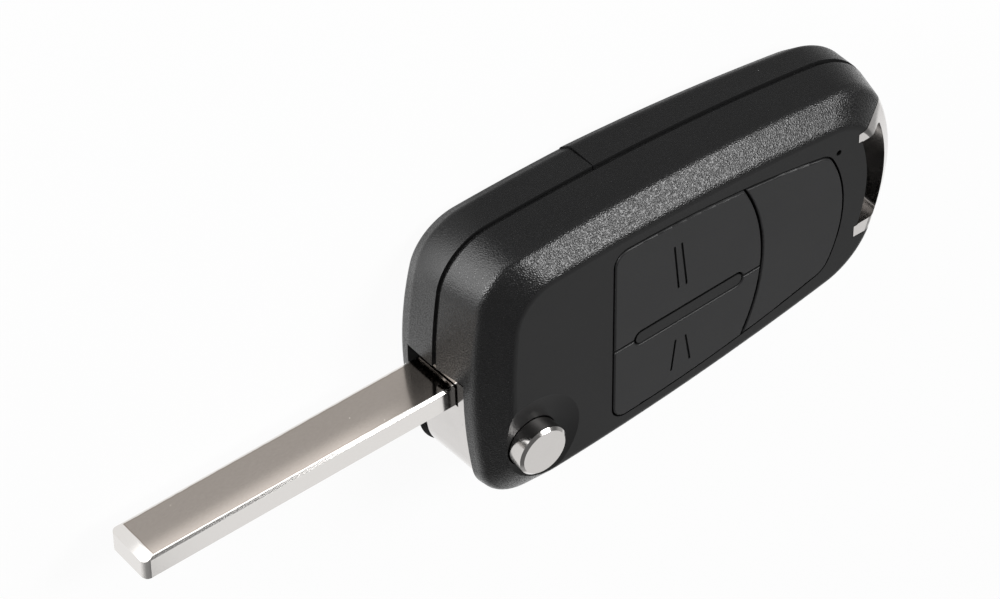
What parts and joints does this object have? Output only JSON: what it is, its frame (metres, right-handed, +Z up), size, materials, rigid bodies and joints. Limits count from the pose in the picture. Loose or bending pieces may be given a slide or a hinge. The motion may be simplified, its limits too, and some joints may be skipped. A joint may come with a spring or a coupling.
{
  "type": "key fob shell",
  "caption": "Folding key fob shell: a plain swing-out blade in a metal carrier, a round release button, a push-button pad, a lift-off battery cover and a metal key ring bar.",
  "frame": {"origin": "on the flat back, on the axis that the blade folds about", "axes": "+X towards the key ring, +Y towards the plain long side, +Z up through the buttons' face"},
  "size_m": [0.1241, 0.0434, 0.0194],
  "materials": {
    "shell_black": "fine grained moulded black",
    "pad_black": "smooth satin black",
    "mat_rubber": "soft matt",
    "tray_plastic": "matt dark grey",
    "blade_steel": "fine brushed, edges bright",
    "satin_metal": "satin plated",
    "steel_fittings": "plain"
  },
  "bodies": {
    "case": {"front_cover": "shell_black", "rear_housing": "shell_black", "blank_panel": "pad_black", "keypad_mat": "mat_rubber", "board_tray": "tray_plastic", "thrust_washer": "steel_fittings", "key_ring_bar": "satin_metal", "ring_bar_pin_upper": "steel_fittings", "ring_bar_pin_lower": "steel_fittings", "case_screw_upper": "steel_fittings", "case_screw_lower": "steel_fittings"},
    "blade_unit": {"blade": "blade_steel", "blade_carrier": "satin_metal", "blade_roll_pin": "steel_fittings", "flip_spring": "steel_fittings"},
    "release_button": {"release_button": "satin_metal"},
    "lock_button": {"lock_button": "pad_black"},
    "unlock_button": {"unlock_button": "pad_black"},
    "battery_cover": {"battery_cover": "shell_black"}
  },
  "joints": [
    {"name": "blade_flip", "type": "hinge", "parent": "case", "child": "blade_unit", "pos_m": [0, 0, 0.007], "axis": [0, 0, 1], "range_deg": [0, 185], "stiffness_Nm_per_rad": 0.008, "springref_deg": -68.75},
    {"name": "release_press", "type": "slide", "parent": "blade_unit", "child": "release_button", "axis": [0, 0, -1], "range_m": [0, 0.0018], "stiffness_N_per_m": 800, "springref_m": -0.002, "deforming": ["flip_spring"]},
    {"name": "lock_press", "type": "slide", "parent": "case", "child": "lock_button", "axis": [-0.021, 0, -0.9998], "range_m": [0, 0.00035], "stiffness_N_per_m": 1500, "springref_m": -0.0004},
    {"name": "unlock_press", "type": "slide", "parent": "case", "child": "unlock_button", "axis": [-0.021, 0, -0.9998], "range_m": [0, 0.00035], "stiffness_N_per_m": 1500, "springref_m": -0.0004},
    {"name": "battery_cover_lift", "type": "slide", "parent": "case", "child": "battery_cover", "axis": [0, 0, -1], "range_m": [0, 0.015], "stiffness_N_per_m": 120, "springref_m": -0.01}
  ]
}
